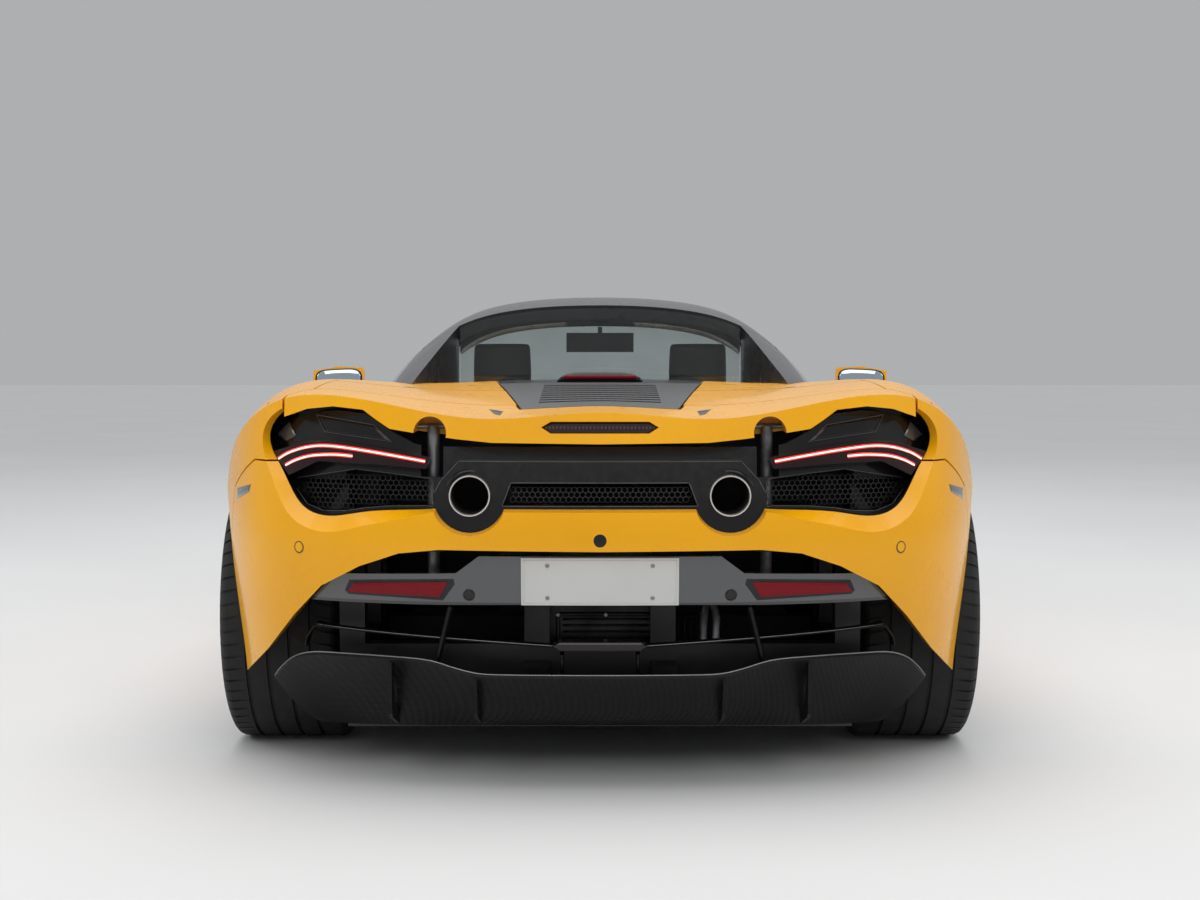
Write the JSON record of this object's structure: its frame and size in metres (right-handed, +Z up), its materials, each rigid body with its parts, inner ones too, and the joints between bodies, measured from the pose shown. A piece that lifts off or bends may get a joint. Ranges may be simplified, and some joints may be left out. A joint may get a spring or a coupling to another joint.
{
  "type": "mid-engined two-seat supercar with a retractable hard top",
  "caption": "Mid-engined two-seat supercar with its hard top up, high exhausts, slim tail lamps, a lifting rear wing and doors that swing up.",
  "frame": {"origin": "on the ground, under the centre of the car's bounding box", "axes": "+X to the car's right, +Y forwards, +Z up"},
  "size_m": [2.16, 4.543, 1.1939],
  "materials": {
    "paint": "gloss",
    "carbon": "satin",
    "black_paint": "gloss",
    "gloss_black": "gloss",
    "mesh": "satin",
    "structure": "satin",
    "engine": "rough",
    "glass": "tinted",
    "clear": "clear",
    "lamp_red": "clear",
    "polished": "polished",
    "plate": "matte",
    "leather": "grained",
    "trim": "grained",
    "tyre": "moulded",
    "wheel": "satin"
  },
  "bodies": {
    "body": {"chassis_tub": "carbon", "front_structure": "structure", "undertray": "carbon", "engine_block": "engine", "rear_frame": "structure", "front_bumper": "paint", "headlamps": "gloss_black", "headlamp_lenses": "clear", "front_splitter": "carbon", "front_grilles": "mesh", "front_fenders": "paint", "cowl_panel": "black_paint", "windscreen_frame": "black_paint", "windscreen": "glass", "roof_panel": "black_paint", "rear_window": "glass", "rear_quarters": "paint", "side_skirts": "carbon", "rear_deck": "paint", "engine_cover": "carbon", "rear_bumper": "paint", "rear_panel": "gloss_black", "rear_mesh": "mesh", "exhaust_tips": "polished", "tail_lamps": "lamp_red", "plate_panel": "gloss_black", "number_plate": "plate", "diffuser": "carbon", "fog_lamp": "lamp_red", "seats": "leather", "dashboard": "trim", "centre_console": "trim", "steering_wheel": "trim", "interior_mirror": "gloss_black", "rear_uprights": "structure", "suspension_arms": "structure"},
    "front_lid": {"front_lid": "paint"},
    "tonneau": {"tonneau_cover": "paint", "buttress_frames": "black_paint", "buttress_glass": "glass"},
    "wing_struts": {"wing_rods": "structure"},
    "rear_wing": {"rear_wing": "paint"},
    "door_right": {"door_right": "paint", "door_glass_right": "glass"},
    "door_left": {"door_left": "paint", "door_glass_left": "glass"},
    "knuckle_fl": {"knuckle_fl": "structure"},
    "knuckle_fr": {"knuckle_fr": "structure"},
    "wheel_fl": {"tyre_fl": "tyre", "wheel_fl": "wheel"},
    "wheel_fr": {"tyre_fr": "tyre", "wheel_fr": "wheel"},
    "wheel_rl": {"tyre_rl": "tyre", "wheel_rl": "wheel"},
    "wheel_rr": {"tyre_rr": "tyre", "wheel_rr": "wheel"}
  },
  "joints": [
    {"name": "steer_left", "type": "hinge", "parent": "body", "child": "knuckle_fl", "pos_m": [-0.825, 1.2065, 0.327], "axis": [0, 0, 1], "range_deg": [-30, 30]},
    {"name": "steer_right", "type": "hinge", "parent": "body", "child": "knuckle_fr", "pos_m": [0.825, 1.2065, 0.327], "axis": [0, 0, 1], "range_deg": [-30, 30]},
    {"name": "wheel_spin_fl", "type": "hinge", "parent": "knuckle_fl", "child": "wheel_fl", "pos_m": [-0.825, 1.2065, 0.327], "axis": [1, 0, 0], "continuous": true},
    {"name": "wheel_spin_fr", "type": "hinge", "parent": "knuckle_fr", "child": "wheel_fr", "pos_m": [0.825, 1.2065, 0.327], "axis": [1, 0, 0], "continuous": true},
    {"name": "wheel_spin_rl", "type": "hinge", "parent": "body", "child": "wheel_rl", "pos_m": [-0.806, -1.4635, 0.3455], "axis": [1, 0, 0], "continuous": true},
    {"name": "wheel_spin_rr", "type": "hinge", "parent": "body", "child": "wheel_rr", "pos_m": [0.806, -1.4635, 0.3455], "axis": [1, 0, 0], "continuous": true},
    {"name": "door_right_swing", "type": "hinge", "parent": "body", "child": "door_right", "pos_m": [0.9, 0.7555, 0.33], "axis": [-0.1166, -0.2682, 0.9563], "range_deg": [0, 70]},
    {"name": "door_left_swing", "type": "hinge", "parent": "body", "child": "door_left", "pos_m": [-0.9, 0.7555, 0.33], "axis": [-0.1166, 0.2682, -0.9563], "range_deg": [0, 70]},
    {"name": "front_lid_hinge", "type": "hinge", "parent": "body", "child": "front_lid", "pos_m": [0, 1.168, 0.748], "axis": [1, 0, 0], "range_deg": [0, 55]},
    {"name": "tonneau_hinge", "type": "hinge", "parent": "body", "child": "tonneau", "pos_m": [0, -1.548, 0.921], "axis": [1, 0, 0], "range_deg": [0, 35]},
    {"name": "wing_lift", "type": "slide", "parent": "body", "child": "wing_struts", "axis": [0, 0, 1], "range_m": [0, 0.08]},
    {"name": "wing_tilt", "type": "hinge", "parent": "wing_struts", "child": "rear_wing", "pos_m": [0, -2.105, 0.852], "axis": [-1, 0, 0], "range_deg": [0, 10]}
  ],
  "couplings": [
    {"joint": "steer_right", "follows": "steer_left", "ratio": 1},
    {"joint": "wing_tilt", "follows": "wing_lift", "rad_per_m": 2.18}
  ]
}
